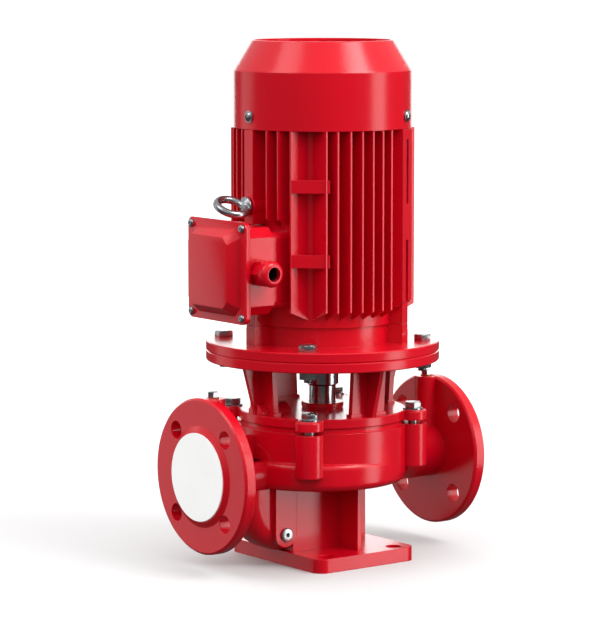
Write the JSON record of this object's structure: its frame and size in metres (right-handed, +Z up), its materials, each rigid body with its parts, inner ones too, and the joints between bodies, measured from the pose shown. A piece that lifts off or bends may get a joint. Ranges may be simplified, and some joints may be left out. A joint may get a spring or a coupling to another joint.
{
  "type": "vertical in-line centrifugal pump",
  "caption": "Close-coupled vertical in-line centrifugal pump: cast volute with opposed flanged ports on a foot plate, open lantern and finned flange motor on top.",
  "frame": {"origin": "on the shaft axis, at the underside of the foot plate", "axes": "+Z up along the shaft, +X out of the discharge port, so the suction port faces -X"},
  "size_m": [0.3281, 0.25, 0.5554],
  "materials": {
    "red_paint": "gloss enamel on cast metal",
    "red_sheet": "gloss enamel on pressed sheet steel",
    "red_plastic": "gloss, painted with the motor",
    "bronze": "machined bronze",
    "bright_steel": "turned and ground steel",
    "zinc_steel": "bright zinc plating",
    "seal_carbon": "lapped carbon",
    "seal_ceramic": "lapped ceramic",
    "black_rubber": "matte",
    "laminated_steel": "stacked sheets",
    "copper": "enamelled copper",
    "cast_aluminium": "cast",
    "fan_plastic": "matte",
    "board_plastic": "matte",
    "brass_part": "machined",
    "white_plastic": "smooth white"
  },
  "bodies": {
    "pump": {"pump_casing": "red_paint", "lantern": "red_paint", "gland_ring": "red_paint", "drive_end_shield": "red_paint", "motor_frame": "red_paint", "rear_end_shield": "red_paint", "fan_cowl": "red_sheet", "terminal_box": "red_paint", "terminal_box_lid": "red_paint", "gland_body": "red_plastic", "gland_nut": "red_plastic", "wear_ring": "bronze", "seal_seat": "seal_ceramic", "seal_seat_gasket": "black_rubber", "casing_gasket": "black_rubber", "casing_bolts": "zinc_steel", "casing_bolt_washers": "zinc_steel", "motor_flange_bolts": "zinc_steel", "motor_flange_nuts": "zinc_steel", "drive_shield_screws": "zinc_steel", "shaft_oil_seal": "black_rubber", "drive_bearing_outer": "bright_steel", "stator_core": "laminated_steel", "stator_windings": "copper", "rear_bearing_outer": "bright_steel", "bearing_preload_washer": "bright_steel", "rear_shield_screws": "zinc_steel", "cowl_screws": "zinc_steel", "lifting_eye": "zinc_steel", "terminal_box_screws": "zinc_steel", "terminal_box_gasket": "black_rubber", "lid_screws": "zinc_steel", "terminal_board": "board_plastic", "terminal_studs": "brass_part", "terminal_nuts": "brass_part", "gland_seal": "black_rubber", "gland_locknut": "board_plastic", "drain_plug": "zinc_steel", "gauge_plugs": "zinc_steel", "gauge_plug_washers": "copper"},
    "rotor": {"shaft": "bright_steel", "impeller": "bronze", "impeller_key": "bright_steel", "impeller_washer": "bright_steel", "impeller_nut": "bronze", "seal_spring": "bright_steel", "seal_head": "seal_carbon", "drive_bearing_inner": "bright_steel", "rear_bearing_inner": "bright_steel", "rotor_core": "laminated_steel", "rotor_end_rings": "cast_aluminium", "cooling_fan": "fan_plastic", "fan_key": "bright_steel", "fan_circlip": "bright_steel"},
    "drive_ball_set": {"drive_bearing_balls": "bright_steel"},
    "rear_ball_set": {"rear_bearing_balls": "bright_steel"},
    "suction_cover": {"suction_port_cover": "white_plastic"}
  },
  "joints": [
    {"name": "rotor_spin", "type": "hinge", "parent": "pump", "child": "rotor", "pos_m": [0, 0, 0.2], "axis": [0, 0, 1], "continuous": true},
    {"name": "drive_balls_orbit", "type": "hinge", "parent": "pump", "child": "drive_ball_set", "pos_m": [0, 0, 0.2475], "axis": [0, 0, 1], "continuous": true},
    {"name": "rear_balls_orbit", "type": "hinge", "parent": "pump", "child": "rear_ball_set", "pos_m": [0, 0, 0.48], "axis": [0, 0, 1], "continuous": true},
    {"name": "suction_cover_pull", "type": "slide", "parent": "pump", "child": "suction_cover", "axis": [-1, 0, 0], "range_m": [0, 0.06]}
  ],
  "couplings": [
    {"joint": "drive_balls_orbit", "follows": "rotor_spin", "ratio": 0.3972},
    {"joint": "rear_balls_orbit", "follows": "rotor_spin", "ratio": 0.3957}
  ]
}
